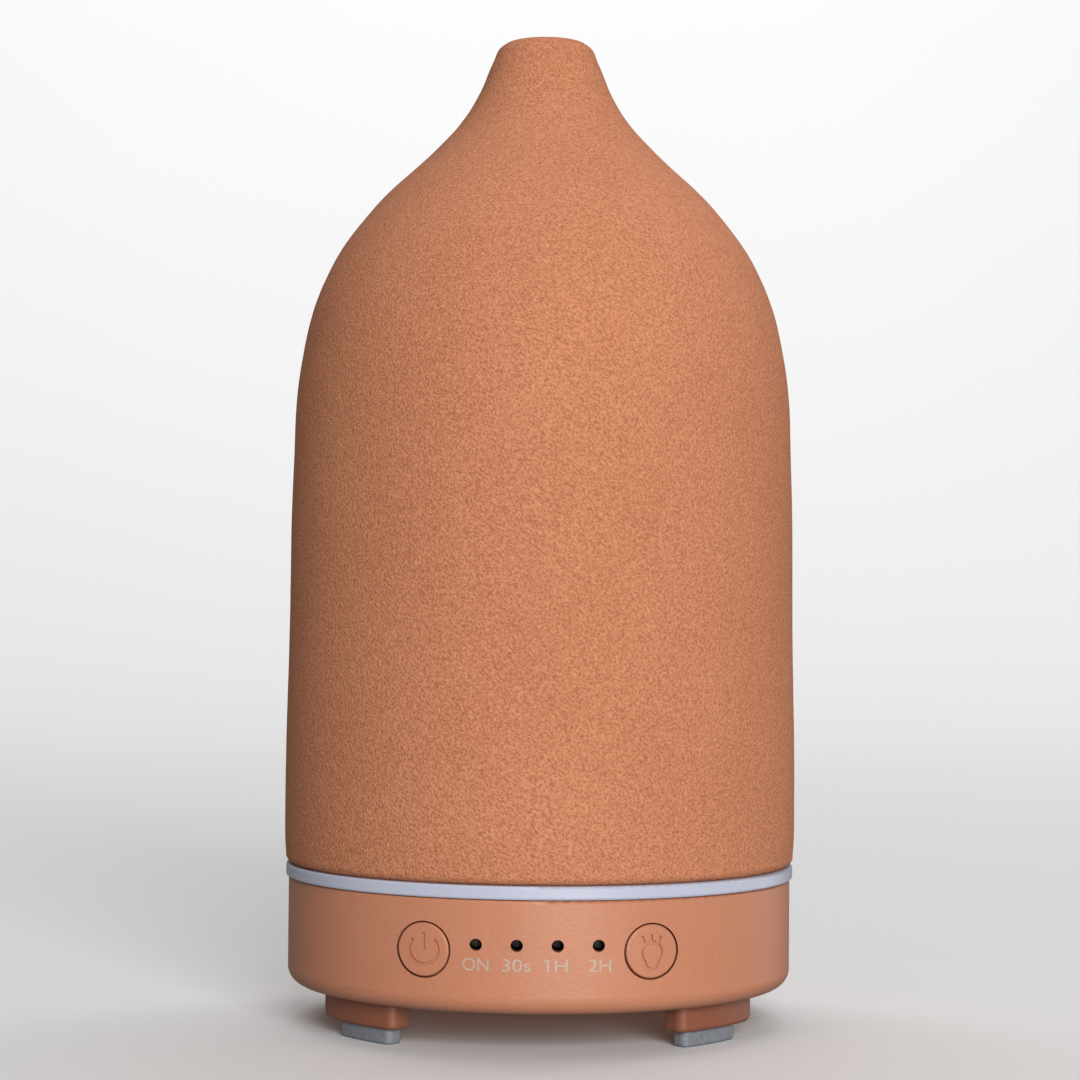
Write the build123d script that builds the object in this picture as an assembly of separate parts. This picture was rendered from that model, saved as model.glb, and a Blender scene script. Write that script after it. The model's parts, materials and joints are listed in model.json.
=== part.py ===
from build123d import *
from math import asin, cos, radians, sin, sqrt, tan
import os

# Table-top oil diffuser: stoneware bottle cover over a water tank on a round plastic base.
# Millimetres, +Z up, the front with the buttons faces -Y, origin on the table under the centre.

# Heights from the table up
pad_height = 2.7
foot_height = 4.5
base_bottom = pad_height + foot_height
base_top = 26.4
ring_bottom = 26.5
ring_top = 28.8
cover_bottom = 28.9
total_height = 179.0

# Base shell
base_radius = 45.6
base_wall = 1.8
base_bottom_round = 3.0
base_top_round = 0.5
floor_thickness = 2.0
floor_radius = 41.5
floor_gap = 0.1
base_bore = base_radius - base_wall
floor_top = base_bottom + floor_thickness

# Feet and pads
foot_inner = 36.0
foot_span = 30.0
foot_from_front = 51.3
foot_end_slope = 2.5
pad_inner = 37.0
pad_outer = 40.5
pad_span = 20.5
pad_from_front = 48.8
pad_recess = 0.6

# Stoneware cover: outline as radius, height pairs, then the rounded lip round the mist hole
cover_outline = [(46.2, 31.0), (46.38, 43.0), (45.93, 70.0), (45.5, 100.0), (44.15, 120.0),
                 (39.9, 135.0), (32.05, 147.0), (19.95, 159.0), (15.5, 164.0), (12.4, 169.0),
                 (9.4, 176.3)]
cover_wall = 4.0
cover_bottom_round = 1.4
lip_inner = 5.3
mouth_radius = 4.7

# Light ring and its board
ring_radius = 46.1
ring_inner = 37.6
ring_edge_round = 0.4
seal_inner = 38.6
seal_outer = 40.0
seal_height = 0.8
ring_board_bottom = 23.6
ring_board_thickness = 1.0
ring_led_count = 12

# Water tank
tank_radius = 39.6
tank_wall = 2.0
tank_flange = 40.7
tank_top = 75.0
tank_floor = 30.8
fill_line = 56.0
tank_bore = tank_radius - tank_wall

# Inner cover: outline as radius, height pairs from its flange up to the chimney's mouth
inner_outline = [(38.6, 76.6), (38.0, 92.0), (33.0, 107.0), (20.0, 120.0), (10.5, 130.0),
                 (7.6, 144.0), (7.2, 167.0)]
inner_wall = 1.6

# Buttons, indicator holes and the panel behind them
button_x = 19.1
button_z = 17.7
button_hole = (4.6, 4.8)
button_gap = 0.3
button_travel = 0.4
flange_outer = 43.4
flange_inner = 42.6
flange_margin = 0.8
led_hole_x = (-10.26, -3.42, 3.42, 10.26)
led_hole_z = 18.9
led_hole_radius = 1.04
panel_front = -34.9
panel_thickness = 1.2
panel_half_width = 22.5
panel_bottom = 11.5
panel_top = 22.6
switch_depth = 1.4
plunger_radius = 0.84

# Icons engraved in the buttons
groove = 0.57
engrave_depth = 0.45
bulb_crown = (-0.18, 1.68)
bulb_neck = (-2.07, 0.93)
ray_length = 1.65

# Fan and air duct
fan_y = 15.5
fan_bottom = 9.6
fan_height = 7.0
fan_half = 12.5
fan_hole_pitch = 10.0
fan_top = fan_bottom + fan_height
duct_half_x = 5.8
duct_front = 16.6
duct_back = 24.6

# Piezo stack under the tank
piezo_radius = 10.0
piezo_bottom = 26.3
piezo_thickness = 1.2
seat_bore = 11.0
seat_radius = 13.0
seat_bottom = 23.5
piezo_window = 8.0
ear_radius = 15.2
ear_angles = (30, 150, 270)

# Main board
board_bottom = 13.0
board_thickness = 1.6
board_low = (-24.0, -31.0)
board_high = (24.0, -3.0)
board_posts = [(-20.5, -27.5), (20.5, -27.5), (-20.5, -6.5), (20.5, -6.5)]
board_top = board_bottom + board_thickness

# Screws that hold the base together, and the low-voltage socket
screw_places = [(31.0, 11.3), (31.0, -11.3), (-31.0, 11.3), (-31.0, -11.3)]
boss_bottom = 11.2
jack_z = 16.0
jack_face = 41.8
jack_back = 30.0
jack_half = 4.5
jack_bore = 3.1
jack_pin = 1.0

tolerance = 0.01


def disc(radius, bottom, top, x=0.0, y=0.0):
    """Upright cylinder between two heights."""
    placed = Cylinder(radius, top - bottom, align=(Align.CENTER, Align.CENTER, Align.MIN))
    return Pos(x, y, bottom) * placed


def tube(outer, inner, bottom, top, x=0.0, y=0.0):
    """Upright ring of square section."""
    return disc(outer, bottom, top, x, y) - disc(inner, bottom, top, x, y)


def block(low, high):
    """Box between two corners."""
    size = [end - start for start, end in zip(low, high)]
    return Pos(*low) * Box(*size, align=(Align.MIN, Align.MIN, Align.MIN))


def arc_block(inner, outer, bottom, top, middle, span):
    """Block that follows the circumference, centred on one direction in degrees from +X."""
    section = Pos((inner + outer) / 2, (bottom + top) / 2) * Rectangle(outer - inner, top - bottom)
    turned = revolve(Plane.XZ * section, Axis.Z, span)
    return Rot(0, 0, middle - span / 2) * turned


def front_prism(sketch, near=0.0, far=60.0):
    """Sketch in X and Z, drawn out along -Y from one depth to another."""
    return extrude(Plane.XZ.offset(near) * sketch, far - near)


def round_circles(solid, radius, height, size):
    """Round every circular edge of one radius at one height."""
    picked = [edge for edge in solid.edges().filter_by(GeomType.CIRCLE)
              if abs(edge.radius - radius) < tolerance and abs(edge.arc_center.Z - height) < tolerance]
    return fillet(picked, size)


def polar(radius, angle):
    """X and Y of a point at a radius and an angle in degrees."""
    return radius * cos(radians(angle)), radius * sin(radians(angle))


def one(parts):
    """Several separate solids as one node."""
    solids = []
    for part in parts:
        solids.extend(part.solids())
    return Compound(children=solids)


def four_ways(turn):
    """Directions either side of the front and the back, front left first, then round."""
    front = 270.0
    back = 90.0
    return [front - turn, front + turn, back - turn, back + turn]


def inside_points(curve, depth, count, last=1.0):
    """Points at one depth inside a profile curve that runs upwards."""
    points = []
    for step in range(count):
        place = curve @ (last * step / (count - 1))
        along = curve % (last * step / (count - 1))
        points.append((place.X - depth * along.Z, 0, place.Z + depth * along.X))
    return points


def ceramic_cover():
    """Stoneware bottle cover with a constant wall and a mist hole in its lip."""
    outline = [(radius, 0, height) for radius, height in cover_outline]
    side = Spline(*outline, tangents=[(0, 0, 1), (-0.45, 0, 1)])
    lip = Spline(side @ 1, (lip_inner, 0, total_height), tangents=[side % 1, (-1, 0, 0)])
    foot_edge = cover_outline[0][0] - cover_bottom_round
    bottom = ThreePointArc(
        (foot_edge, 0, cover_bottom),
        (foot_edge + cover_bottom_round * sin(radians(45)), 0,
         cover_bottom + cover_bottom_round * (1 - cos(radians(45)))),
        (cover_outline[0][0], 0, cover_bottom + cover_bottom_round))
    riser = Line(bottom @ 1, side @ 0)
    inner = inside_points(side, cover_wall, 12, 0.95)
    mouth_low = (mouth_radius, 0, 173.0)
    mouth_high = (mouth_radius, 0, total_height - 0.7)
    hollow = Spline(*inner, mouth_low, tangents=[(0, 0, 1), (0, 0, 1)])
    bore = Line(mouth_low, mouth_high)
    bore_edge = Line(mouth_high, lip @ 1)
    wall_foot = (inner[0][0], 0, cover_bottom)
    drop = Line(inner[0], wall_foot)
    sole = Line(wall_foot, bottom @ 0)
    section = make_face(Wire([bottom, riser, side, lip, bore_edge, bore, hollow, drop, sole]))
    return revolve(section, Axis.Z, 360)


def inner_cover():
    """Thin dome that rests on the tank, with a chimney that leads the mist to the mouth."""
    outline = [(radius, 0, height) for radius, height in inner_outline]
    outside = Spline(*outline, tangents=[(0, 0, 1), (0, 0, 1)])
    inner = inside_points(outside, inner_wall, 14)
    inside = Spline(*inner, tangents=[(0, 0, 1), (0, 0, 1)])
    rim = Line(outside @ 1, inner[-1])
    base = Line(outline[0], inner[0])
    dome = revolve(make_face(Wire([outside, rim, inside, base])), Axis.Z, 360)
    rest = tank_top + 0.1
    seat = tube(tank_radius + 0.4, tank_bore - 1.9, rest, outline[0][2])
    spigot = tube(tank_bore - 0.4, tank_bore - 1.9, tank_top - 4.0, rest)
    return dome + seat + spigot


def duct_outline(wall):
    """Rounded rectangle round the air duct, one wall thicker than its passage."""
    middle = (duct_front + duct_back) / 2
    width = 2 * (duct_half_x + wall)
    depth = duct_back - duct_front + 2 * wall
    return Pos(0, middle) * RectangleRounded(width, depth, 1.5 + wall)


def water_tank():
    """Basin with the air duct, the piezo seat and four long screw bosses."""
    basin = disc(tank_radius, ring_top, tank_top) - disc(tank_bore, tank_floor, tank_top)
    basin = round_circles(basin, tank_bore, tank_floor, 1.5)
    basin = round_circles(basin, tank_radius, tank_top, 0.6)
    basin += tube(tank_flange, tank_bore, ring_top, ring_top + 1.6)
    basin += tube(tank_bore + 0.3, tank_bore - 0.5, fill_line, fill_line + 0.6)
    tower = extrude(Pos(0, 0, ring_top) * duct_outline(1.4), tank_top - 4.5 - ring_top)
    basin += tower
    basin -= extrude(Pos(0, 0, ring_top - 1) * duct_outline(0.0), tank_top)
    well = Pos(0, 0, tank_floor - 0.7) * Cone(piezo_window, 13.0, 1.4)
    basin -= well
    basin += tube(seat_radius, seat_bore, seat_bottom, ring_top)
    basin += disc(seat_bore + 0.2, 28.0, ring_top)
    basin -= disc(piezo_window, 28.0 - 1, tank_floor)
    for angle in ear_angles:
        x, y = polar(ear_radius, angle)
        basin += disc(2.3, seat_bottom, ring_top, x, y)
        basin -= disc(0.8, seat_bottom, 28.2, x, y)
    for x, y in screw_places:
        basin += disc(3.4, boss_bottom, ring_top + 0.2, x, y)
        basin -= disc(1.25, boss_bottom, 22.0, x, y)
    return basin


def light_ring():
    """Milky light guide between the base and the cover."""
    ring = tube(ring_radius, ring_inner, ring_bottom, ring_top)
    ring = round_circles(ring, ring_radius, ring_top, ring_edge_round)
    ring = round_circles(ring, ring_radius, ring_bottom, ring_edge_round)
    ring += tube(base_bore - 0.1, base_bore - 1.6, ring_bottom - 1.0, ring_bottom)
    ring += tube(41.7, 41.0, ring_top, ring_top + 1.5)
    return ring - tube(seal_outer, seal_inner, ring_top - seal_height, ring_top)


def tank_seal():
    """Soft ring in the light ring's groove, under the tank's flange."""
    return tube(seal_outer, seal_inner, ring_top - seal_height, ring_top)


def ring_board():
    """Ring-shaped board under the light ring, resting on the shell's ledges."""
    board = tube(base_bore - 0.4, 37.2, ring_board_bottom, ring_board_bottom + ring_board_thickness)
    return board - block((-3, 36, 23), (3, 38.2, 26))


def ring_leds():
    """Surface-mounted lamps on the ring board."""
    top = ring_board_bottom + ring_board_thickness
    lamps = []
    for number in range(ring_led_count):
        lamp = block((39.0, -1.4, top), (42.0, 1.4, top + 0.8))
        lamp -= disc(1.1, top + 0.6, top + 0.8, 40.5, 0)
        lamps.append(Rot(0, 0, (number + 0.5) * 360 / ring_led_count) * lamp)
    return one(lamps)


def button_prism(x, margin, near=0.0, far=60.0):
    """Elliptical prism of a button's hole, grown or shrunk by a margin."""
    outline = Ellipse(button_hole[0] + margin, button_hole[1] + margin)
    return front_prism(Pos(x, button_z) * outline, near, far)


def base_shell():
    """Side wall of the base with its rounded lower edge, holes and ledges."""
    shell = disc(base_radius, base_bottom, base_top)
    shell = round_circles(shell, base_radius, base_bottom, base_bottom_round)
    shell = round_circles(shell, base_radius, base_top, base_top_round)
    shell -= disc(base_bore, floor_top, base_top)
    shell -= disc(floor_radius + floor_gap, base_bottom, floor_top)
    for number in range(6):
        shell += arc_block(42.3, base_bore + 0.2, ring_board_bottom - 2.0, ring_board_bottom,
                           30 + 60 * number, 6)
    for x in (-button_x, button_x):
        shell -= button_prism(x, 0.0)
    for x in led_hole_x:
        shell -= front_prism(Pos(x, led_hole_z) * Circle(led_hole_radius))
    return shell - front_prism(Pos(0, jack_z) * Circle(4.6), -60, 0)


def foot(angle):
    """Foot with its end towards the side sloped at the bottom and its edges rounded."""
    body = arc_block(foot_inner, floor_radius, pad_height, base_bottom + 0.5, angle, foot_span)
    ends = body.faces().sort_by(Axis.Z)[0].edges().filter_by(GeomType.LINE)
    outer_end = max(ends, key=lambda edge: abs(edge.center().X))
    body = chamfer(outer_end, foot_end_slope)
    body = fillet(body.edges().filter_by(Axis.Z), 1.6)
    return fillet(body.faces().sort_by(Axis.Z)[0].edges(), 0.8)


def bottom_cover():
    """Floor of the base with its feet, fan grille, posts and screw pockets."""
    cover = disc(floor_radius, base_bottom, floor_top)
    for foot_angle, pad_angle in zip(four_ways(foot_from_front), four_ways(pad_from_front)):
        cover += foot(foot_angle)
        cover -= arc_block(pad_inner - 0.1, pad_outer + 0.1, pad_height, pad_height + pad_recess,
                           pad_angle, pad_span + 0.4)
    frame = block((-14, fan_y - 14, floor_top), (14, fan_y + 14, fan_bottom))
    cover += frame - disc(12.0, floor_top, fan_bottom, 0, fan_y)
    slots = []
    for number in range(-3, 4):
        offset = number * 3.3
        length = 2 * sqrt(11.5 ** 2 - offset ** 2)
        slots.append(Pos(offset, fan_y) * SlotOverall(length, 1.7, rotation=90))
    for slot in slots:
        cover -= extrude(Pos(0, 0, base_bottom) * slot, floor_thickness)
    for x, y in fan_corners():
        cover -= disc(1.1, 8.2, fan_bottom, x, y)
    for x, y in board_posts:
        cover += disc(2.4, floor_top, board_bottom, x, y)
        cover -= disc(0.9, 8.6, board_bottom, x, y)
    for x, y in screw_places:
        cover += disc(4.4, floor_top, boss_bottom, x, y)
        cover -= disc(3.0, base_bottom, 9.7, x, y)
        cover -= disc(1.5, base_bottom, boss_bottom, x, y)
    cradle = block((-6.2, 31, floor_top), (6.2, 40, 14.5))
    cradle -= block((-jack_half - 0.1, 31, jack_z - 5), (jack_half + 0.1, 40, 14.5))
    cover += cradle
    back = panel_front + panel_thickness
    for side in (-1, 1):
        clip = block((11, panel_front - 1.4, floor_top), (16, back + 1.5, 14.5))
        clip += block((11, back, floor_top), (16, back + 1.5, 20))
        clip -= block((11, panel_front - 0.1, panel_bottom), (16, back + 0.1, 20))
        cover += clip if side > 0 else mirror(clip, about=Plane.YZ)
    return cover


def foot_pad(angle):
    """Soft pad let into the underside of one foot."""
    pad = arc_block(pad_inner, pad_outer, 0.0, pad_height + pad_recess, angle, pad_span)
    pad = fillet(pad.edges().filter_by(Axis.Z), 1.2)
    return fillet(pad.faces().sort_by(Axis.Z)[0].edges(), 0.5)


def power_icon():
    """Broken circle with an upright bar in its gap."""
    middle = (5.5 - groove) / 2
    arc = CenterArc((0, 0), middle, 137, 266)
    stroke = trace(arc, groove)
    bar = Pos(0, middle / 2 + 0.2) * SlotOverall(middle + 0.4, groove, rotation=90)
    return stroke + bar


def bulb_outline(margin):
    """Bulb's crown and neck with the flanks that touch both, grown or shrunk by a margin."""
    lean = asin((bulb_crown[1] - bulb_neck[1]) / (bulb_crown[0] - bulb_neck[0]))
    right = [(cos(lean) * (radius + margin), height - sin(lean) * (radius + margin))
             for height, radius in (bulb_neck, bulb_crown)]
    left = [(-x, height) for x, height in reversed(right)]
    outline = Polygon(*right, *left, align=None)
    for height, radius in (bulb_crown, bulb_neck):
        outline += Pos(0, height) * Circle(radius + margin)
    return outline


def lamp_icon():
    """Bulb outline with three rays that rise from its crown."""
    icon = bulb_outline(groove / 2) - bulb_outline(-groove / 2)
    icon += Pos(0, 2.05) * SlotOverall(ray_length, groove, rotation=90)
    icon += Pos(-1.33, 1.78) * SlotOverall(ray_length, groove, rotation=108)
    icon += Pos(1.33, 1.78) * SlotOverall(ray_length, groove, rotation=72)
    return icon


def button(x, icon):
    """Button cap flush with the base, with a retaining flange and an engraved icon."""
    cap = button_prism(x, -button_gap)
    cap &= tube(base_radius, flange_inner, 0, base_top)
    rim = [edge for edge in cap.edges() if edge.center().Y < -sqrt(44.6 ** 2 - x ** 2)]
    cap = fillet(rim, 0.3)
    flange = button_prism(x, flange_margin) & tube(flange_outer, flange_inner, 0, base_top)
    push = front_prism(Pos(x, button_z) * Circle(1.7), 37.1, 38.6)
    cap = cap + flange + push
    cutter = front_prism(Pos(x, button_z) * icon)
    return cap - (cutter & tube(base_radius + 1, base_radius - engrave_depth, 0, base_top))


def control_board():
    """Upright board behind the front wall."""
    return block((-panel_half_width, panel_front, panel_bottom),
                 (panel_half_width, panel_front + panel_thickness, panel_top))


def switch_body(x):
    """Push switch on the control board, with the well its plunger slides in."""
    body = block((x - 2, panel_front - switch_depth, button_z - 2),
                 (x + 2, panel_front, button_z + 2))
    body = chamfer(body.edges().filter_by(Axis.Y), 0.4)
    well = front_prism(Pos(x, button_z) * Circle(plunger_radius + 0.06), 35.3, 40.0)
    return body - well


def switch_plunger(x):
    """Plunger between the button and its switch."""
    return front_prism(Pos(x, button_z) * Circle(plunger_radius), 35.9, 37.1)


def indicator_shield():
    """Opaque block that keeps the light of each indicator in its own bore."""
    shield = block((-13, -44, 16.6), (13, panel_front, 21.2))
    shield &= disc(base_bore - 0.2, 16, 22)
    for x in led_hole_x:
        shield -= front_prism(Pos(x, led_hole_z) * Circle(1.4))
    return shield


def indicator_led(x):
    """Small domed lamp on the control board, inside the shield's bore."""
    body = front_prism(Pos(x, led_hole_z) * Circle(1.25), -panel_front, 37.4)
    dome = Pos(x, -37.4, led_hole_z) * Sphere(1.25)
    return body + dome


def fan_corners():
    """Places of the fan's four screws."""
    return [(x, fan_y + y) for x in (-fan_hole_pitch, fan_hole_pitch)
            for y in (-fan_hole_pitch, fan_hole_pitch)]


def fan_frame():
    """Square fan housing with a hub on three struts."""
    frame = block((-fan_half, fan_y - fan_half, fan_bottom), (fan_half, fan_y + fan_half, fan_top))
    frame = fillet(frame.edges().filter_by(Axis.Z), 1.5)
    frame -= disc(12.0, fan_bottom, fan_top, 0, fan_y)
    frame += disc(4.5, fan_bottom, fan_bottom + 0.8, 0, fan_y)
    for angle in (90, 210, 330):
        strut = block((3.5, -0.7, fan_bottom), (12.3, 0.7, fan_bottom + 0.8))
        frame += Pos(0, fan_y, 0) * Rot(0, 0, angle) * strut
    frame += tube(2.2, 1.5, fan_bottom + 0.7, 14.0, 0, fan_y)
    for x, y in fan_corners():
        frame -= disc(1.3, fan_bottom, fan_top, x, y)
    return frame


def fan_bearing():
    """Sleeve bearing in the fan's hub."""
    return tube(1.5, 0.78, fan_bottom + 0.9, 14.0, 0, fan_y)


def fan_shaft():
    """Steel shaft pressed in the impeller."""
    return disc(0.75, fan_bottom + 1.1, 15.4, 0, fan_y)


def fan_stator():
    """Four wound poles round the hub post."""
    stator = tube(2.9, 2.2, 10.9, 13.4)
    for angle in (0, 90, 180, 270):
        pole = block((2.6, -0.6, 11.3), (3.3, 0.6, 13.0)) + block((3.2, -1.6, 10.9), (3.9, 1.6, 13.4))
        stator += Rot(0, 0, angle) * pole
    return Pos(0, fan_y, 0) * (stator & disc(3.8, 10, 14))


def fan_magnet():
    """Magnet ring inside the impeller's hub."""
    return tube(4.9, 4.1, 11.2, 14.6, 0, fan_y)


def fan_impeller():
    """Hub cup with seven slanted blades."""
    hub = disc(5.6, 10.9, 16.2) - disc(4.9, 10.9, 15.4)
    hub = round_circles(hub, 5.6, 16.2, 0.5)
    hub += disc(1.6, 14.4, 15.6)
    hub -= disc(0.75, 14.4, 15.4)
    ring = tube(11.4, 5.3, 11.0, 16.0)
    for number in range(7):
        blade = Pos(8.4, 0, 13.5) * Rot(38, 0, 0) * Box(6.6, 0.9, 9.0)
        hub += Rot(0, 0, number * 360 / 7) * blade & ring
    return Pos(0, fan_y, 0) * hub


def fan_hood():
    """Collector on the fan that leads its air up to the tank's duct."""
    hood = block((-fan_half, fan_y - fan_half, fan_top), (fan_half, fan_y + fan_half, fan_top + 1.0))
    hood = fillet(hood.edges().filter_by(Axis.Z), 1.5)
    hood += disc(12.0, fan_top, 20.4, 0, fan_y)
    hood += extrude(Pos(0, 0, 19.6) * duct_outline(1.0), ring_top - 19.6)
    hood -= disc(11.0, fan_top, 19.6, 0, fan_y)
    hood -= extrude(Pos(0, 0, 19.0) * duct_outline(0.0), ring_top - 19.0)
    for x, y in fan_corners():
        hood -= disc(1.3, fan_top, fan_top + 1.0, x, y)
        hood -= disc(2.1, fan_top + 1.0, 19.0, x, y)
    return hood


def screw(head, head_height, shank, length):
    """Pan-head screw with a cross recess, head down, shank up from the origin."""
    body = disc(head, -head_height, 0.0)
    body = round_circles(body, head, -head_height, head_height * 0.45)
    body += disc(shank, 0.0, length)
    arm = head * 0.55
    slot = head * 0.17
    cross = block((-arm, -slot, -head_height), (arm, slot, -head_height * 0.4))
    cross += block((-slot, -arm, -head_height), (slot, arm, -head_height * 0.4))
    return body - cross


def base_screws():
    """Long screws from the floor's pockets into the tank's bosses."""
    return one([Pos(x, y, 9.7) * screw(2.7, 1.7, 1.22, 10.5) for x, y in screw_places])


def fan_screws():
    """Screws through the hood and the fan into the floor."""
    upside_down = Rot(180, 0, 0) * screw(1.9, 1.1, 1.08, 9.2)
    return one([Pos(x, y, fan_top + 1.0) * upside_down for x, y in fan_corners()])


def board_screws():
    """Screws of the main board."""
    upside_down = Rot(180, 0, 0) * screw(1.9, 1.1, 0.88, 5.6)
    return one([Pos(x, y, board_top) * upside_down for x, y in board_posts])


def piezo_screws():
    """Screws of the piezo retainer."""
    fixed = screw(1.7, 1.1, 0.78, 5.4)
    return one([Pos(*polar(ear_radius, angle), 22.3) * fixed for angle in ear_angles])


def piezo_disc():
    """Ultrasonic disc with its thin electrode on the dry side."""
    return disc(piezo_radius, piezo_bottom, piezo_bottom + piezo_thickness)


def piezo_seal():
    """Soft ring that wraps the disc's edge."""
    seal = tube(seat_bore - 0.05, piezo_window, 25.6, 28.0)
    return seal - disc(piezo_radius, piezo_bottom, piezo_bottom + piezo_thickness)


def piezo_retainer():
    """Clamp ring with three ears that presses the seal up."""
    plate = disc(seat_radius, 22.3, seat_bottom)
    for angle in ear_angles:
        ear = block((10, -2.6, 22.3), (ear_radius, 2.6, seat_bottom)) + disc(2.6, 22.3, seat_bottom, ear_radius)
        plate += Rot(0, 0, angle) * ear
    plate += disc(seat_bore - 0.2, seat_bottom, 25.6)
    plate -= disc(piezo_window, 22.3, 25.6)
    for angle in ear_angles:
        x, y = polar(ear_radius, angle)
        plate -= disc(1.0, 22.3, seat_bottom, x, y)
    return plate


def main_board():
    """Power and control board on the floor's posts."""
    board = block((*board_low, board_bottom), (*board_high, board_top))
    board = fillet(board.edges().filter_by(Axis.Z), 1.0)
    for x, y in board_posts:
        board -= disc(1.1, board_bottom, board_top, x, y)
    return board


def drive_coil():
    """Drum-core choke of the piezo drive."""
    coil = disc(4.0, board_top, board_top + 1.0, -13, -13) + disc(3.2, board_top, 19.4, -13, -13)
    return coil + disc(4.0, 19.4, 20.2, -13, -13)


def filter_capacitor():
    """Round electrolytic capacitor with its rolled groove."""
    can = disc(3.15, board_top, 20.2, 13, -12)
    can = round_circles(can, 3.15, 20.2, 0.4)
    return can - tube(3.3, 2.9, 15.6, 16.2, 13, -12)


def controller_chip():
    """Small-outline controller with its two rows of legs."""
    chip = block((-5, -23, board_top + 0.1), (5, -19, board_top + 1.6))
    for number in range(8):
        x = -4.445 + 1.27 * number
        chip += block((x - 0.2, -24, board_top), (x + 0.2, -18, board_top + 0.3))
    return chip


def power_transistor():
    """Flat power transistor with its metal tab."""
    body = block((-17, -25, board_top), (-10.5, -19, board_top + 2.3))
    return body + block((-16.4, -19, board_top), (-11.1, -17.8, board_top + 0.6))


def board_connectors():
    """Two-pin headers for the fan, piezo, ring, socket and panel leads."""
    shells = []
    for x, y in [(-9, -6.5), (0, -6.5), (9, -6.5), (19, -16), (6, -28)]:
        shell = block((x - 3, y - 2.2, board_top), (x + 3, y + 2.2, board_top + 4.6))
        shell = chamfer(shell.edges().filter_by(Axis.Z), 0.5)
        shells.append(shell)
    return one(shells)


def dc_jack_housing():
    """Body of the low-voltage socket."""
    housing = block((-jack_half, jack_back, jack_z - 5), (jack_half, jack_face, jack_z + 4.6))
    housing = chamfer(housing.edges().filter_by(Axis.Y), 0.6)
    return housing - front_prism(Pos(0, jack_z) * Circle(jack_bore), -jack_face, -32.3)


def dc_jack_pin():
    """Centre pin of the socket."""
    pin = front_prism(Pos(0, jack_z) * Circle(jack_pin), -40.6, -32.3)
    return fillet(pin.faces().sort_by(Axis.Y)[-1].edges(), 0.5)


def dc_jack_terminals():
    """Solder tabs behind the socket."""
    return one([block((x - 0.8, 28.4, 18.2), (x + 0.8, jack_back, 18.8)) for x in (-3, 0, 3)])


def lead(points, radius=0.6):
    """Insulated lead along straight runs joined by tangent arcs."""
    corners = [Vector(*point) for point in points]
    radii = []
    for before, here, after in zip(corners, corners[1:], corners[2:]):
        arrive = here - before
        leave = after - here
        half_turn = radians(arrive.get_angle(leave)) / 2
        radii.append(0.45 * min(arrive.length, leave.length) / tan(half_turn))
    path = FilletPolyline(*points, radius=radii)
    section = Plane(origin=path @ 0, z_dir=path % 0) * Circle(radius)
    wire = sweep(section, path=path)
    print("lead radii", [round(value, 1) for value in radii])
    return wire


header_top = board_top + 4.6
lead_routes = {
    "fan_lead": [(-12.5, 8.0, 12.0), (-15.5, 5.5, 13.5), (-16.0, 1.0, 18.0), (-12.0, -3.5, 21.0),
                 (-9.0, -6.5, header_top)],
    "piezo_lead": [(3.0, 2.0, piezo_bottom), (3.0, 0.0, 24.0), (1.5, -4.0, 21.8),
                   (0.0, -6.5, header_top)],
    "ring_lead": [(39.0, -1.5, ring_board_bottom), (36.0, -2.5, 20.5), (30.0, -2.0, 17.8),
                  (18.0, -3.0, 20.0), (12.0, -5.0, 21.3), (9.0, -6.5, header_top)],
    "power_lead": [(3.0, 28.4, 18.5), (10.0, 27.6, 19.5), (17.5, 22.0, 20.5), (22.5, 10.0, 21.0),
                   (22.8, -4.0, 21.5), (21.0, -12.0, 21.3), (19.0, -16.0, header_top)],
    "panel_lead": [(2.0, panel_front + panel_thickness, 13.4), (3.0, -32.6, 15.0),
                   (5.0, -31.6, 20.0), (6.2, -29.6, 21.0), (6.0, -28.0, header_top)],
}

pad_names = ["foot_pad_front_left", "foot_pad_front_right", "foot_pad_back_right", "foot_pad_back_left"]
led_names = ["indicator_led_on", "indicator_led_30s", "indicator_led_1h", "indicator_led_2h"]

pieces = {
    "ceramic_cover": ceramic_cover(),
    "inner_cover": inner_cover(),
    "water_tank": water_tank(),
    "light_ring": light_ring(),
    "tank_seal": tank_seal(),
    "ring_board": ring_board(),
    "ring_leds": ring_leds(),
    "base_shell": base_shell(),
    "bottom_cover": bottom_cover(),
    "power_button": button(-button_x, power_icon()),
    "light_button": button(button_x, lamp_icon()),
    "control_board": control_board(),
    "power_switch": switch_body(-button_x),
    "light_switch": switch_body(button_x),
    "power_switch_plunger": switch_plunger(-button_x),
    "light_switch_plunger": switch_plunger(button_x),
    "indicator_shield": indicator_shield(),
    "fan_frame": fan_frame(),
    "fan_bearing": fan_bearing(),
    "fan_shaft": fan_shaft(),
    "fan_stator": fan_stator(),
    "fan_magnet": fan_magnet(),
    "fan_impeller": fan_impeller(),
    "fan_hood": fan_hood(),
    "fan_screws": fan_screws(),
    "base_screws": base_screws(),
    "board_screws": board_screws(),
    "piezo_screws": piezo_screws(),
    "piezo_disc": piezo_disc(),
    "piezo_seal": piezo_seal(),
    "piezo_retainer": piezo_retainer(),
    "main_board": main_board(),
    "drive_coil": drive_coil(),
    "filter_capacitor": filter_capacitor(),
    "controller_chip": controller_chip(),
    "power_transistor": power_transistor(),
    "board_connectors": board_connectors(),
    "dc_jack_housing": dc_jack_housing(),
    "dc_jack_pin": dc_jack_pin(),
    "dc_jack_terminals": dc_jack_terminals(),
}
for name, angle in zip(pad_names, four_ways(pad_from_front)):
    pieces[name] = foot_pad(angle)
for name, x in zip(led_names, led_hole_x):
    pieces[name] = indicator_led(x)
for name, route in lead_routes.items():
    pieces[name] = lead(route)

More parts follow.
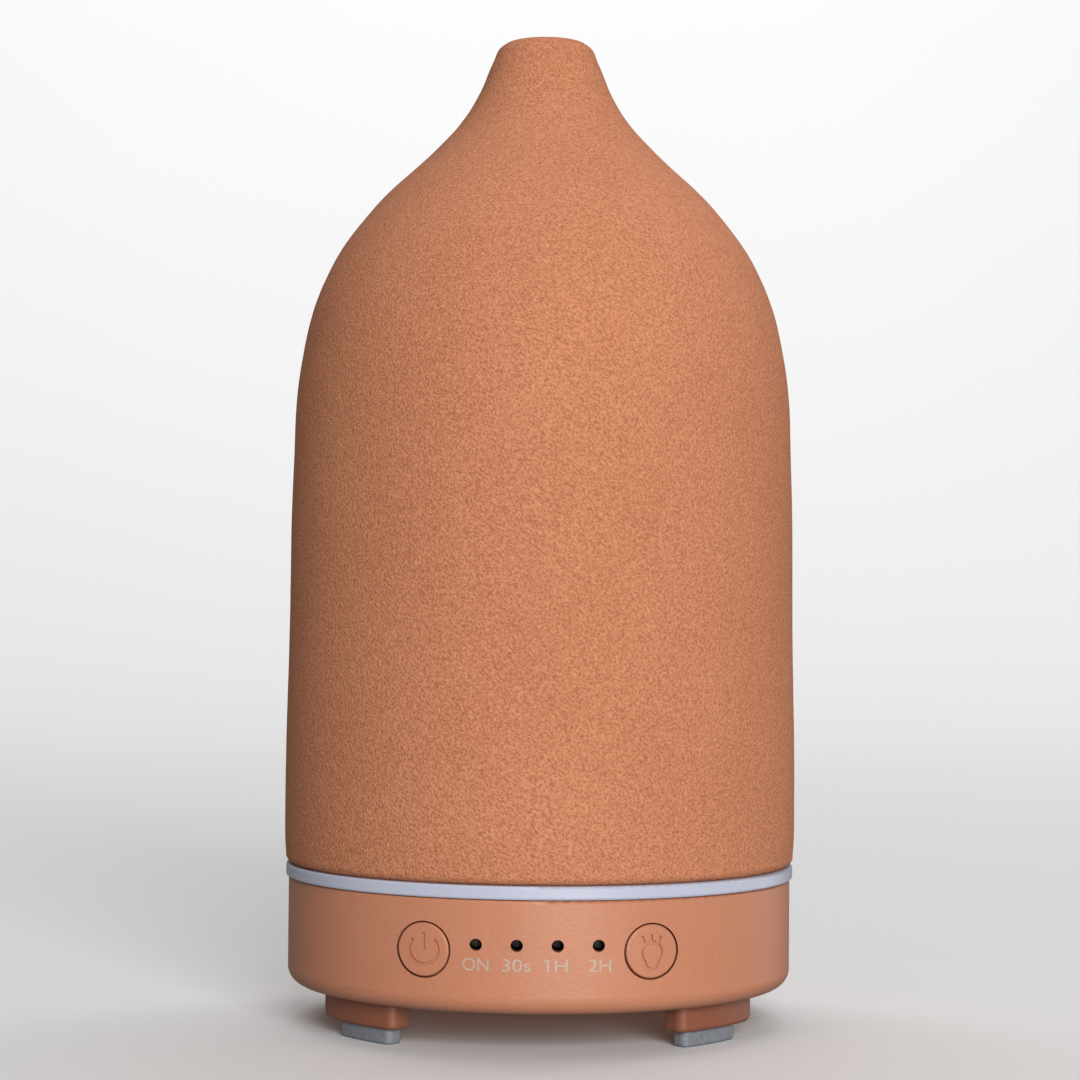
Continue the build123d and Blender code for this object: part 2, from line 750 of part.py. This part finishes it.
os.makedirs("parts", exist_ok=True)
for name, piece in pieces.items():
    export_step(piece, "parts/" + name + ".step")
print(len(pieces), "pieces written")
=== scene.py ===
import bpy
import json
from math import cos, pi, radians, sin
from mathutils import Matrix, Vector


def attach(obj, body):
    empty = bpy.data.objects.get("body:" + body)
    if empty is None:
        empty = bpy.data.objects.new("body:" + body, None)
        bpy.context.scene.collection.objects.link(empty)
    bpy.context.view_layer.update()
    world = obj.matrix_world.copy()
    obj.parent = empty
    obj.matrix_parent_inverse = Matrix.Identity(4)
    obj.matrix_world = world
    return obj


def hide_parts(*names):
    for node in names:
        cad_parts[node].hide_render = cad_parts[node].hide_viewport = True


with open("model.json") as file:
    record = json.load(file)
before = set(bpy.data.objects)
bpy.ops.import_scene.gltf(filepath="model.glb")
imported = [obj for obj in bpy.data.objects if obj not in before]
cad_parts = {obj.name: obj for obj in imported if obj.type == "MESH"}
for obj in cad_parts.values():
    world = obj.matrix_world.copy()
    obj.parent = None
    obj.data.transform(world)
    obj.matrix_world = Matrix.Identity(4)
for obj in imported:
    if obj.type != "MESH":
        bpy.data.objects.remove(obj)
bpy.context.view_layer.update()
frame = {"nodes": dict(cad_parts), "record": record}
nodes = frame["nodes"]
mm = 0.001
scene = bpy.context.scene
print("frame loaded,", len(nodes), "nodes")


class Link:
    # one output socket, with + - * as Math nodes

    def __init__(self, paint, socket):
        self.paint = paint
        self.socket = socket

    def sum(self, operation, *values):
        return self.paint.node("ShaderNodeMath", {"operation": operation}, dict(enumerate(values)))

    def __add__(self, other):
        return self.sum("ADD", self, other)

    def __radd__(self, other):
        return self.sum("ADD", other, self)

    def __sub__(self, other):
        return self.sum("SUBTRACT", self, other)

    def __rsub__(self, other):
        return self.sum("SUBTRACT", other, self)

    def __mul__(self, other):
        return self.sum("MULTIPLY", self, other)

    def __rmul__(self, other):
        return self.sum("MULTIPLY", other, self)

    def over(self, low, high):  # 0 below low, 1 above high
        return self.paint.node("ShaderNodeMapRange", {"clamp": True},
                               {"Value": self, "From Min": low, "From Max": high})


class Paint:
    # one material: a Principled shader and the nodes that feed it

    def __init__(self, name, color, roughness, **fixed):
        self.material = bpy.data.materials.new(name)
        self.material.use_nodes = True
        self.tree = self.material.node_tree
        self.shader = self.tree.nodes["Principled BSDF"]
        self.put(self.shader, "Base Color", (*color, 1.0))
        self.put(self.shader, "Roughness", roughness)
        for socket, value in fixed.items():
            self.put(self.shader, socket.replace("_", " "), value)
        self.place = self.node("ShaderNodeTexCoord", out="Object")

    def put(self, node, socket, value):
        if isinstance(value, Link):
            self.tree.links.new(value.socket, node.inputs[socket])
        else:
            node.inputs[socket].default_value = value

    def node(self, kind, settings=None, sockets=None, out=0):
        made = self.tree.nodes.new(kind)
        for name, value in (settings or {}).items():
            setattr(made, name, value)
        for name, value in (sockets or {}).items():
            self.put(made, name, value)
        return Link(self, made.outputs[out])

    def noise(self, size, detail=3.0, roughness=0.5, place=None):
        # size is the width of a blotch in metres
        return self.node("ShaderNodeTexNoise", None,
                         {"Vector": place or self.place, "Scale": 1.0 / size, "Detail": detail,
                          "Roughness": roughness}, out="Fac")

    def mix(self, share, first, second):
        made = self.tree.nodes.new("ShaderNodeMix")
        made.data_type = "RGBA"
        colors = [s for s in made.inputs if s.type == "RGBA"]
        self.put(made, "Factor", share)
        for socket, value in zip(colors, (first, second)):
            if isinstance(value, Link):
                self.tree.links.new(value.socket, socket)
            else:
                socket.default_value = (*value, 1.0)
        return Link(self, [s for s in made.outputs if s.type == "RGBA"][0])

    def bump(self, height, depth, strength=1.0):
        # depth is the height of a full step in metres
        normal = self.node("ShaderNodeBump", None,
                           {"Height": height, "Distance": depth, "Strength": strength}, out="Normal")
        self.put(self.shader, "Normal", normal)

    def color(self, value):
        self.put(self.shader, "Base Color", value)

    def roughness(self, value):
        self.put(self.shader, "Roughness", value)


# widths and heights of a finish are in metres
stoneware = {"body": (0.57, 0.216, 0.107), "deep": (0.37, 0.122, 0.056), "pale": (0.73, 0.32, 0.175),
             "blotch": 0.026, "grain": 0.00033, "coarse": 0.0011, "slant": 42, "stretch": (1.5, 1.0, 1.0),
             "relief": 0.00018}


def makeStoneware():
    # unglazed clay: sand grains drawn out slantwise in their own mottled tone, with painted shade in the
    # hollows and painted highlight on the tips
    look = stoneware
    paint = Paint("stoneware", look["body"], 0.9, Specular_IOR_Level=0.25)
    drawn = paint.node("ShaderNodeMapping", {"vector_type": "TEXTURE"},
                       {"Vector": paint.place, "Rotation": (0, radians(look["slant"]), 0),
                        "Scale": look["stretch"]})
    blotch = paint.noise(look["blotch"], 2.0)
    grain = paint.noise(look["grain"], 1.5, 0.5, place=drawn)
    coarse = paint.noise(look["coarse"], 2.0, 0.5, place=drawn)
    mottled = paint.mix(blotch.over(0.35, 0.65) * 0.22, look["body"], look["pale"])
    # painted shade darkens the grain hollows and the coarse hollows, and a painted highlight lightens the
    # grain tips
    shaded = paint.mix((1.0 - grain.over(0.32, 0.52)) * 0.75, mottled, look["deep"])
    tipHighlight = paint.mix(grain.over(0.52, 0.70) * 0.70, shaded, look["pale"])
    paint.color(paint.mix((1.0 - coarse.over(0.32, 0.5)) * 0.16, tipHighlight, look["deep"]))
    paint.roughness(0.84 + grain * 0.14)
    paint.bump(grain + coarse * 0.6, look["relief"])
    return paint.material


# the feet's dark colour and the height where it ends make painted shade for the shadow under the base
basePlastic = {"body": (0.57, 0.225, 0.124), "deep": (0.47, 0.185, 0.105), "pale": (0.64, 0.28, 0.168),
               "foot": (0.27, 0.09, 0.048), "footTop": (0.0068, 0.0074), "cloud": 0.018,
               "speck": 0.00055, "relief": 0.00004}


def makeBasePlastic():
    # fine speckled satin plastic, with painted shade darkening the feet under the base
    look = basePlastic
    paint = Paint("basePlastic", look["body"], 0.42, Specular_IOR_Level=0.45)
    cloud = paint.noise(look["cloud"], 2.0)
    speck = paint.noise(look["speck"], 2.0, 0.6)
    tinted = paint.mix(cloud.over(0.35, 0.7) * 0.25, look["body"], look["pale"])
    specked = paint.mix((1.0 - speck.over(0.34, 0.5)) * 0.30, tinted, look["deep"])
    # painted shade: below the top of the feet the colour turns dark, for the shadow the base casts on
    # them
    height = paint.node("ShaderNodeSeparateXYZ", None, {"Vector": paint.place}, out="Z")
    low = 1.0 - height.over(*look["footTop"])
    paint.color(paint.mix(low, specked, look["foot"]))
    paint.roughness(0.36 + speck * 0.14)
    paint.bump(speck, look["relief"])
    return paint.material


milkyPlastic = {"body": (0.58, 0.60, 0.71), "dim": (0.52, 0.545, 0.655), "pale": (0.55, 0.57, 0.68),
                "deep": (0.42, 0.44, 0.54), "cloud": 0.02, "speck": 0.0004}


def makeMilkyPlastic():
    look = milkyPlastic
    paint = Paint("milkyPlastic", look["body"], 0.3, Specular_IOR_Level=0.5,
                  Subsurface_Weight=0.12, Subsurface_Scale=0.002)
    cloud = paint.noise(look["cloud"], 1.0)
    speck = paint.noise(look["speck"], 1.0)
    tinted = paint.mix(cloud.over(0.3, 0.7), look["dim"], look["pale"])
    paint.color(paint.mix((1.0 - speck.over(0.3, 0.5)) * 0.08, tinted, look["deep"]))
    paint.roughness(0.26 + speck * 0.1)
    return paint.material


def makePlain(name, color, roughness, speck=0.0008, depth=0.00002, spread=0.12, **fixed):
    # moulded or coated finish: fine speckle in colour, gloss and height
    paint = Paint(name, color, roughness, **fixed)
    grain = paint.noise(speck, 2.0)
    dark = tuple(part * (1.0 - spread) for part in color)
    pale = tuple(min(1.0, part * (1.0 + spread)) for part in color)
    paint.color(paint.mix(grain.over(0.3, 0.7), dark, pale))
    paint.roughness(roughness - 0.05 + grain * 0.1)
    paint.bump(grain, depth)
    return paint.material


board = {"lane": 0.004, "patch": 0.008, "relief": 0.00003}


def makeBoard(name, mask, trace):
    # circuit board: copper traces under the solder mask
    paint = Paint(name, mask, 0.35, Specular_IOR_Level=0.5)
    lanes = paint.node("ShaderNodeTexBrick", {"offset": 0.5},
                       {"Vector": paint.place, "Scale": 1.0 / board["lane"], "Mortar Size": 0.06,
                        "Brick Width": 1.6, "Row Height": 0.45}, out="Fac")
    patch = paint.noise(board["patch"], 1.0).over(0.48, 0.52)
    copper = lanes * patch
    paint.color(paint.mix(copper, mask, trace))
    paint.bump(copper, board["relief"])
    return paint.material


def makePiezo():
    paint = Paint("piezoMetal", (0.72, 0.60, 0.36), 0.3, Metallic=1.0)
    lathe = paint.noise(0.0006, 1.0)
    paint.roughness(0.22 + lathe * 0.2)
    return paint.material


paints = {
    "stoneware": makeStoneware(),
    "base_plastic": makeBasePlastic(),
    "milky_plastic": makeMilkyPlastic(),
    "frosted_plastic": makePlain("frostedPlastic", (0.80, 0.82, 0.83), 0.45, 0.0012, 0.00003, 0.03,
                                 Transmission_Weight=0.25, Subsurface_Weight=0.2, Subsurface_Scale=0.003),
    "white_plastic": makePlain("whitePlastic", (0.80, 0.80, 0.77), 0.35, 0.0012, 0.00002, 0.03,
                               Subsurface_Weight=0.1, Subsurface_Scale=0.002),
    "silicone": makePlain("silicone", (0.66, 0.66, 0.63), 0.55),
    "piezo_metal": makePiezo(),
    "white_board": makeBoard("whiteBoard", (0.75, 0.76, 0.73), (0.62, 0.63, 0.60)),
    "green_board": makeBoard("greenBoard", (0.012, 0.10, 0.045), (0.03, 0.19, 0.08)),
    "led_plastic": makePlain("ledPlastic", (0.20, 0.19, 0.17), 0.12, 0.0015, 0.00001, 0.05),
    "black_plastic": makePlain("blackPlastic", (0.018, 0.018, 0.02), 0.45, 0.0005, 0.00003, 0.2),
    "bronze": makePlain("bronze", (0.42, 0.27, 0.12), 0.4, 0.0003, 0.00002, 0.1, Metallic=1.0),
    "steel": makePlain("steel", (0.55, 0.55, 0.57), 0.3, 0.0006, 0.00001, 0.06, Metallic=1.0),
    "magnet": makePlain("magnet", (0.07, 0.065, 0.065), 0.6, 0.0004, 0.00003, 0.15),
    "copper": makePlain("copper", (0.62, 0.22, 0.08), 0.3, 0.0004, 0.00004, 0.15, Metallic=0.9),
    "ferrite": makePlain("ferrite", (0.05, 0.05, 0.055), 0.6, 0.0004, 0.00003, 0.15),
    "capacitor_can": makePlain("capacitorCan", (0.03, 0.035, 0.06), 0.3),
    "nylon": makePlain("nylon", (0.72, 0.69, 0.60), 0.5),
    "nickel": makePlain("nickel", (0.66, 0.64, 0.60), 0.2, 0.0006, 0.000005, 0.04, Metallic=1.0),
    "red_insulation": makePlain("redInsulation", (0.42, 0.02, 0.015), 0.4),
    "white_insulation": makePlain("whiteInsulation", (0.72, 0.72, 0.69), 0.4),
    "pad_rubber": makePlain("padRubber", (0.205, 0.215, 0.24), 0.55, 0.0007, 0.00005, 0.12),
    "label_ink": makePlain("labelInk", (0.52, 0.40, 0.31), 0.5, 0.0003, 0.00001, 0.15),
}
for part in frame["record"]["subparts"]:
    mesh = nodes[part["node"]].data
    mesh.materials.clear()
    mesh.materials.append(paints[part["material_slot"]])
print("materials made:", len(paints))


def clear():
    if bpy.context.object and bpy.context.object.mode != "OBJECT":
        bpy.ops.object.mode_set(mode="OBJECT")
    bpy.ops.object.select_all(action="DESELECT")


def only(*objs):
    clear()
    for obj in objs:
        obj.select_set(True)
    bpy.context.view_layer.objects.active = objs[-1]


def editing(obj, kind="VERT"):
    only(obj)
    bpy.ops.object.mode_set(mode="EDIT")
    bpy.ops.mesh.select_mode(type=kind)


def pickEdges(obj, test):
    # selects the edges whose two ends pass a test on their place
    bpy.ops.object.mode_set(mode="OBJECT")
    mesh = obj.data
    for part in (*mesh.vertices, *mesh.edges, *mesh.polygons):
        part.select = False
    for edge in mesh.edges:
        edge.select = test(*[mesh.vertices[end].co for end in edge.vertices])
    bpy.ops.object.mode_set(mode="EDIT")
    bpy.ops.mesh.select_mode(type="EDGE")


def useModifier(obj, kind, **settings):
    only(obj)
    modifier = obj.modifiers.new(kind.title(), kind)
    for name, value in settings.items():
        setattr(modifier, name, value)
    bpy.ops.object.modifier_apply(modifier=modifier.name)


def turned(name, profile, steps, fineness):
    # a bezier profile of (radius, height, smooth) points in mm, spun about Z
    clear()
    bpy.ops.curve.primitive_bezier_curve_add(enter_editmode=False)
    line = bpy.context.object
    line.data.resolution_u = fineness
    spline = line.data.splines[0]
    spline.bezier_points.add(len(profile) - len(spline.bezier_points))
    for point, (radius, height, smooth) in zip(spline.bezier_points, profile):
        point.co = (radius * mm, 0, height * mm)
        point.handle_left_type = "AUTO" if smooth else "VECTOR"
        point.handle_right_type = "AUTO" if smooth else "VECTOR"
    spline.use_cyclic_u = True
    bpy.ops.object.convert(target="MESH")
    obj = bpy.context.object
    obj.name = name
    editing(obj)
    bpy.ops.mesh.select_all(action="SELECT")
    bpy.ops.mesh.spin(steps=steps, angle=2 * pi, center=(0, 0, 0), axis=(0, 0, 1), dupli=False)
    bpy.ops.mesh.select_all(action="SELECT")
    bpy.ops.mesh.remove_doubles(threshold=0.000002)
    bpy.ops.mesh.normals_make_consistent(inside=False)
    bpy.ops.object.mode_set(mode="OBJECT")
    return obj


def settle(obj, name, slot, body, *replaced, smooth=40):
    # place goes into the mesh, then the piece gets its finish and its body
    only(obj)
    bpy.ops.object.transform_apply(location=True, rotation=True, scale=True)
    if smooth:
        bpy.ops.object.shade_smooth_by_angle(angle=radians(smooth))
    obj.name = name
    obj.data.materials.clear()
    obj.data.materials.append(paints[slot])
    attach(obj, body)
    if replaced:
        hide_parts(*replaced)
    print(name, "done,", len(obj.data.polygons), "faces")
    return obj


cover = {
    "outside": [(46.2, 31.0), (46.38, 43.0), (45.93, 70.0), (45.5, 100.0), (44.15, 120.0), (39.9, 135.0),
                (32.05, 147.0), (19.95, 159.0), (15.5, 164.0), (12.4, 169.0), (9.6, 175.6)],
    "lip": [(8.3, 178.1), (5.6, 179.0), (4.75, 178.2)],
    "inside": [(4.75, 173.5), (8.6, 167.0), (17.3, 156.0), (29.4, 144.0), (36.6, 132.0), (40.3, 118.0),
               (41.5, 100.0), (41.9, 70.0), (42.3, 43.0), (42.2, 29.5)],
    "sole": [(43.0, 28.9), (44.9, 28.9), (45.95, 29.6)],
    "steps": 288, "fineness": 12, "wave": 0.006, "waveDepth": 0.00008, "creaseAngle": 60}


def makeCover():
    profile = [(*point, True) for key in ("outside", "lip", "inside", "sole") for point in cover[key]]
    obj = turned("stoneCover", profile, cover["steps"], cover["fineness"])
    clouds = bpy.data.textures.new("handCast", "CLOUDS")
    clouds.noise_scale = cover["wave"]
    useModifier(obj, "DISPLACE", texture=clouds, texture_coords="LOCAL", strength=cover["waveDepth"],
                mid_level=0.5)
    return settle(obj, "stoneCover", "stoneware", "cover", "ceramic_cover",
                  smooth=cover["creaseAngle"])


makeCover()


label = {"words": {"ON": (-10.38, 4.46), "30s": (-3.47, 4.8), "1H": (3.35, 3.5), "2H": (10.56, 3.85)},
         "base": 14.6, "capHeight": 2.1, "thick": 0.03, "wall": 45.6,
         "flag": (0.62, 0.24), "flagTilt": 38, "flagShift": (0.30, 0.42), "creaseAngle": 30}


def makeLabels():
    # flat letters are stood up and wrapped round the wall, and the 1 gets a flag at its top
    letters = []
    for word, (x, width) in label["words"].items():
        clear()
        bpy.ops.object.text_add()
        text = bpy.context.object
        text.data.body = word
        text.data.extrude = label["thick"] * mm / 2
        bpy.ops.object.convert(target="MESH")
        letter = bpy.context.object
        corners = [vert.co for vert in letter.data.vertices]
        low = Vector([min(corner[axis] for corner in corners) for axis in (0, 1)])
        high = Vector([max(corner[axis] for corner in corners) for axis in (0, 1)])
        wide = width * mm / (high.x - low.x)
        tall = label["capHeight"] * mm / (high.y - low.y)
        for corner in corners:
            corner.x = x * mm + (corner.x - (low.x + high.x) / 2) * wide
            corner.y = label["base"] * mm + (corner.y - low.y) * tall
        if word == "1H":
            left = (x - width / 2) * mm
        letters.append(letter)
    long, thin = (part * mm for part in label["flag"])
    across, down = label["flagShift"]  # in flag lengths
    top = (label["base"] + label["capHeight"]) * mm
    bpy.ops.mesh.primitive_cube_add(size=1.0)
    flag = bpy.context.object
    flag.scale = (long, thin, label["thick"] * mm)
    flag.rotation_euler = (0, 0, radians(label["flagTilt"]))
    flag.location = (left - long * across, top - long * down, 0)
    letters.append(flag)
    only(*letters)
    bpy.ops.object.join()
    obj = bpy.context.object
    bpy.ops.object.transform_apply(location=True, rotation=True, scale=True)
    editing(obj)
    bpy.ops.mesh.select_all(action="SELECT")
    bpy.ops.transform.rotate(value=-pi / 2, orient_axis="X", center_override=(0, 0, 0))
    bpy.ops.mesh.remove_doubles(threshold=0.000001)
    bpy.ops.object.mode_set(mode="OBJECT")
    wall = (label["wall"] + label["thick"] / 2) * mm
    for vert in obj.data.vertices:  # wraps the flat letters round the wall
        turn = vert.co.x / wall
        depth = wall - vert.co.y
        vert.co = (depth * sin(turn), -depth * cos(turn), vert.co.z)
    return settle(obj, "timerLabels", "label_ink", "base", smooth=label["creaseAngle"])


makeLabels()


stage = {"width": 4.0, "wallHeight": 3.0, "sweep": 1.2, "segments": 24, "margin": 0.1,
         "body": (0.86, 0.86, 0.86), "dim": (0.85, 0.85, 0.85), "pale": (0.87, 0.87, 0.87), "cloud": 0.3}


def makeStage():
    # floor that sweeps up into a wall behind
    rear = stage["width"] / 2 - stage["margin"]
    clear()
    bpy.ops.mesh.primitive_plane_add(size=stage["width"], location=(0, 0, 0))
    floor = bpy.context.object
    floor.name = "floor"
    editing(floor, "EDGE")
    pickEdges(floor, lambda a, b: min(a.y, b.y) > rear)
    bpy.ops.mesh.extrude_region_move(TRANSFORM_OT_translate={"value": (0, 0, stage["wallHeight"])})
    pickEdges(floor, lambda a, b: min(a.y, b.y) > rear and max(a.z, b.z) < stage["margin"])
    bpy.ops.mesh.bevel(offset=stage["sweep"], segments=stage["segments"], affect="EDGES")
    bpy.ops.object.mode_set(mode="OBJECT")
    bpy.ops.object.shade_smooth()
    paint = Paint("floorPaint", stage["body"], 0.85, Specular_IOR_Level=0.1)
    paint.color(paint.mix(paint.noise(stage["cloud"], 2.0), stage["dim"], stage["pale"]))
    floor.data.materials.append(paint.material)
    floor.visible_diffuse = False  # no bounce from the floor on the object
    floor.visible_glossy = False


lights = {  # metres and watts
    "keyLight": {"place": (0.28, -1.2, 0.38), "target": (0, 0, 0.09), "size": (0.6, 0.6), "power": 15.7},
    "sideLight": {"place": (1.1, 0.65, 0.30), "target": (0, 0, 0.10), "size": (0.5, 0.9), "power": 2.3},
    "wallLight": {"place": (0, 0.9, 2.2), "target": (0, 2.0, 0.7), "size": (3.0, 0.6), "power": 45.0}}


def addLight(name, place, target, size, power):
    clear()
    bpy.ops.object.light_add(type="AREA", location=place)
    lamp = bpy.context.object
    lamp.name = name
    lamp.data.shape = "RECTANGLE"
    lamp.data.size = size[0]
    lamp.data.size_y = size[1]
    lamp.data.energy = power
    lamp.rotation_euler = (Vector(target) - Vector(place)).to_track_quat("-Z", "Y").to_euler()


camera = {"distance": 500.0, "side": 2.44, "height": 75.1,  # mm
          "yaw": 0.319, "pitch": 1.43, "roll": -0.47, "lens": 90.83}


def makeCamera():
    clear()
    place = (camera["side"] * mm, -camera["distance"] * mm, camera["height"] * mm)
    bpy.ops.object.camera_add(location=place)
    eye = bpy.context.object
    eye.data.lens = camera["lens"]
    eye.data.sensor_width = 36.0
    eye.data.clip_start = 0.01
    look = Matrix.Rotation(radians(90 + camera["pitch"]), 4, "X")
    turn = Matrix.Rotation(radians(camera["yaw"]), 4, "Z")
    lean = Matrix.Rotation(radians(-camera["roll"]), 4, "Z")
    eye.matrix_world = Matrix.Translation(place) @ turn @ look @ lean
    scene.camera = eye


sky = {"light": 0.19, "backdrop": 0.72}  # what lights the object, what shows past the stage


def makeSky():
    world = bpy.data.worlds.new("softWhite")
    world.use_nodes = True
    tree = world.node_tree
    background = tree.nodes["Background"]
    background.inputs["Color"].default_value = (1, 1, 1, 1)
    path = tree.nodes.new("ShaderNodeLightPath")
    level = tree.nodes.new("ShaderNodeMapRange")
    level.inputs["To Min"].default_value = sky["light"]
    level.inputs["To Max"].default_value = sky["backdrop"]
    tree.links.new(path.outputs["Is Camera Ray"], level.inputs["Value"])
    tree.links.new(level.outputs["Result"], background.inputs["Strength"])
    scene.world = world


makeStage()
for lampName, lamp in lights.items():
    addLight(lampName, **lamp)
makeCamera()
makeSky()
scene.view_settings.view_transform = "Standard"
print("stage, lights and camera done")
